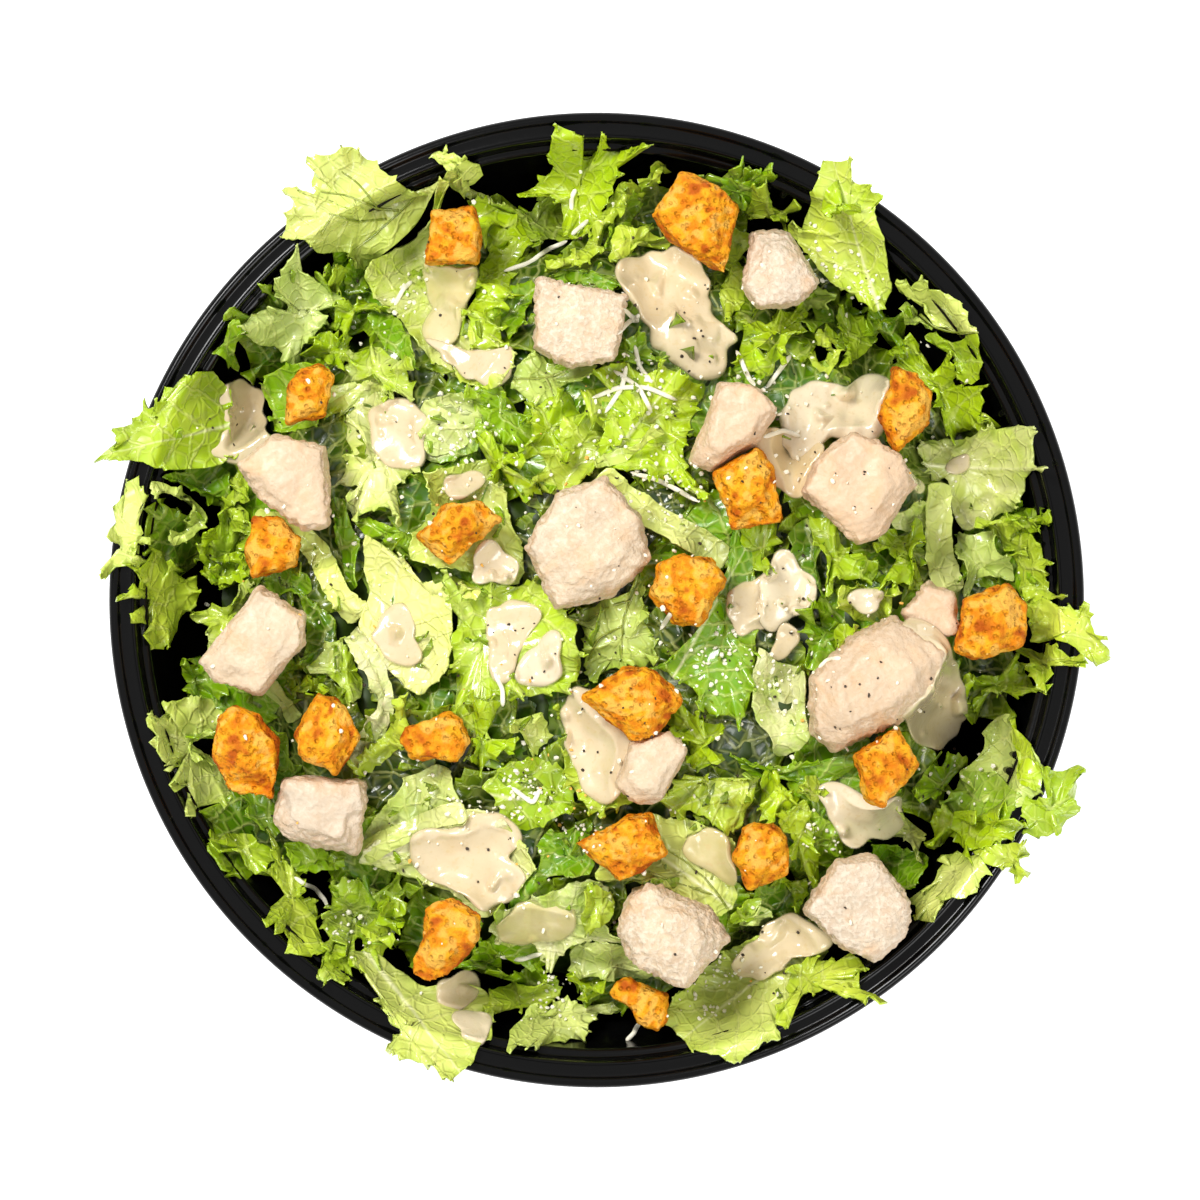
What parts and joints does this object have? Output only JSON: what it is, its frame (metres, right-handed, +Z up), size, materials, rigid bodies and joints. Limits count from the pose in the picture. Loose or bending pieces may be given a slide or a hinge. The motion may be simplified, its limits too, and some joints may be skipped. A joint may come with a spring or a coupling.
{
  "type": "chicken caesar salad",
  "caption": "Romaine salad with diced chicken breast, croutons and creamy dressing, heaped in a round black plastic takeaway bowl.",
  "frame": {"origin": "centre of the bowl's flat underside, on the bowl's axis", "axes": "+Z up out of the bowl along its axis, +X to the right and +Y to the back as the salad lies"},
  "size_m": [0.2327, 0.23, 0.0797],
  "materials": {
    "plastic": "moulded black plastic, satin shine",
    "lettuce": "fresh leaf, moist sheen",
    "chicken": "cooked meat, moist",
    "crouton": "toasted bread, dry"
  },
  "bodies": {
    "root": {"bowl": "plastic", "lettuce_heap": "lettuce", "chicken_01": "chicken", "chicken_02": "chicken", "chicken_03": "chicken", "chicken_04": "chicken", "chicken_05": "chicken", "chicken_06": "chicken", "chicken_07": "chicken", "chicken_08": "chicken", "chicken_09": "chicken", "chicken_10": "chicken", "chicken_11": "chicken", "chicken_12": "chicken", "chicken_13": "chicken", "crouton_01": "crouton", "crouton_02": "crouton", "crouton_03": "crouton", "crouton_04": "crouton", "crouton_05": "crouton", "crouton_06": "crouton", "crouton_07": "crouton", "crouton_08": "crouton", "crouton_09": "crouton", "crouton_10": "crouton", "crouton_11": "crouton", "crouton_12": "crouton", "crouton_13": "crouton", "crouton_14": "crouton", "crouton_15": "crouton", "crouton_16": "crouton", "crouton_17": "crouton", "crouton_18": "crouton"}
  },
  "joints": []
}
